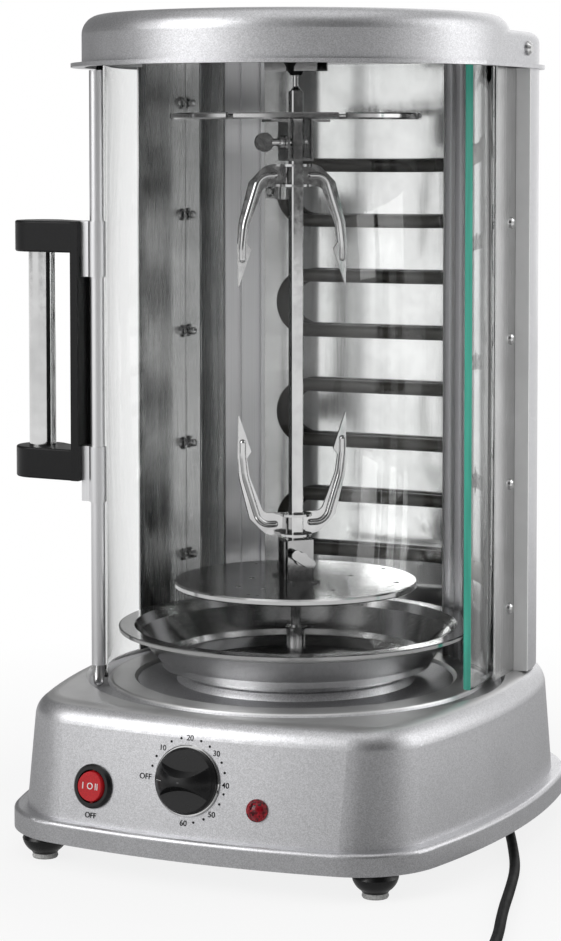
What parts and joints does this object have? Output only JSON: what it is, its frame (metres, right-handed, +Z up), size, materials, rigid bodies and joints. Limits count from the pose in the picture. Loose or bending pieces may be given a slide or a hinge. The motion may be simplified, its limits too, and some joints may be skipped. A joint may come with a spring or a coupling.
{
  "type": "electric skewer grill",
  "caption": "Upright electric grill: motor base, turning spit with discs and forks, drip tray, rear heating chamber with a bent heater, lid, and a curved glass door with a handle.",
  "frame": {"origin": "centre of the footprint, on the surface that the feet stand on", "axes": "+Z up along the spit, -Y towards the control panel and the open front, +X to the right"},
  "size_m": [0.3778, 0.5149, 0.508],
  "materials": {
    "silver_paint": "metallic silver paint with fine flake",
    "steel": "pressed stainless steel, satin",
    "bright_steel": "polished steel",
    "aluminium": "anodised extrusion",
    "glass": "clear tempered glass with green edge",
    "black_plastic": "moulded, fine texture",
    "gloss_black": "moulded, glossy",
    "red_plastic": "translucent red",
    "rubber": "black rubber",
    "heater_sheath": "dark oxide sheath",
    "ceramic": "glazed ceramic",
    "zinc_steel": "zinc-plated sheet"
  },
  "bodies": {
    "base": {"base_shell": "silver_paint", "bottom_plate": "zinc_steel", "foot_front_left": "black_plastic", "foot_front_right": "black_plastic", "foot_rear_left": "black_plastic", "foot_rear_right": "black_plastic", "foot_pads": "rubber", "tray_seat": "silver_paint", "gear_motor": "zinc_steel", "motor_posts": "zinc_steel", "dial_ring": "bright_steel", "timer_works": "zinc_steel", "rocker_bezel": "gloss_black", "switch_body": "black_plastic", "lamp_lens": "red_plastic", "lamp_body": "black_plastic", "rear_shell": "silver_paint", "inner_wall_left": "steel", "inner_wall_right": "steel", "reflector": "steel", "pillar_left": "aluminium", "pillar_right": "aluminium", "heater_element": "heater_sheath", "heater_straps": "steel", "heater_terminals": "ceramic", "lid": "silver_paint", "ceiling_plate": "steel", "bearing_bracket": "steel", "bearing_bush": "black_plastic", "upper_track": "aluminium", "casing_screws": "bright_steel", "base_screws": "zinc_steel", "power_cord": "rubber", "cord_gland": "black_plastic", "cord_coil": "rubber", "plug": "black_plastic"},
    "drive": {"drive_sleeve": "bright_steel"},
    "spit": {"spit_shaft": "bright_steel"},
    "lower_holder": {"lower_plate": "steel", "lower_bracket": "bright_steel"},
    "lower_fork": {"lower_fork": "bright_steel"},
    "lower_screw": {"lower_wing_screw": "bright_steel"},
    "upper_holder": {"upper_disc": "steel", "upper_bracket": "bright_steel"},
    "upper_fork": {"upper_fork": "bright_steel"},
    "upper_screw": {"upper_thumb_screw": "bright_steel"},
    "tray": {"drip_tray": "steel"},
    "door": {"door_glass": "glass", "door_stile": "aluminium", "stile_foot": "bright_steel", "handle_strip": "black_plastic", "handle_arm_lower": "black_plastic", "handle_arm_upper": "black_plastic", "handle_grip": "bright_steel", "clip_lower": "aluminium", "clip_upper": "aluminium"},
    "timer_knob": {"timer_knob": "gloss_black"},
    "rocker": {"rocker_cap": "red_plastic"}
  },
  "joints": [
    {"name": "drive_turn", "type": "hinge", "parent": "base", "child": "drive", "pos_m": [0.0075, -0.006, 0.11], "axis": [0, 0, 1], "continuous": true},
    {"name": "spit_lift", "type": "slide", "parent": "drive", "child": "spit", "axis": [0, 0, 1], "range_m": [0, 0.006]},
    {"name": "lower_holder_slide", "type": "slide", "parent": "spit", "child": "lower_holder", "axis": [0, 0, 1], "range_m": [0, 0.016]},
    {"name": "lower_fork_slide", "type": "slide", "parent": "lower_holder", "child": "lower_fork", "axis": [0, 0, 1], "range_m": [0, 0.016]},
    {"name": "lower_screw_turn", "type": "hinge", "parent": "lower_holder", "child": "lower_screw", "pos_m": [0.0075, -0.006, 0.1685], "axis": [0.7009, -0.7133, 0], "range_deg": [0, 360]},
    {"name": "upper_holder_slide", "type": "slide", "parent": "spit", "child": "upper_holder", "axis": [0, 0, 1], "range_m": [-0.03, 0]},
    {"name": "upper_fork_slide", "type": "slide", "parent": "upper_holder", "child": "upper_fork", "axis": [0, 0, 1], "range_m": [-0.008, 0]},
    {"name": "upper_screw_turn", "type": "hinge", "parent": "upper_holder", "child": "upper_screw", "pos_m": [0.0075, -0.006, 0.4272], "axis": [-0.7133, -0.7009, 0], "range_deg": [0, 360]},
    {"name": "tray_lift", "type": "slide", "parent": "base", "child": "tray", "axis": [0, 0, 1], "range_m": [0, 0.02]},
    {"name": "door_turn", "type": "hinge", "parent": "base", "child": "door", "pos_m": [0.0075, -0.006, 0.29], "axis": [0, 0, 1], "range_deg": [-36, 140]},
    {"name": "timer_turn", "type": "hinge", "parent": "base", "child": "timer_knob", "pos_m": [0.0039, -0.15501, 0.0598], "axis": [-0.0064, -0.9891, 0.1474], "range_deg": [-276, 0]},
    {"name": "rocker_tilt", "type": "hinge", "parent": "base", "child": "rocker", "pos_m": [-0.0585, -0.15259, 0.05], "axis": [0.0171, 0.1454, 0.9892], "range_deg": [-12, 12]}
  ]
}
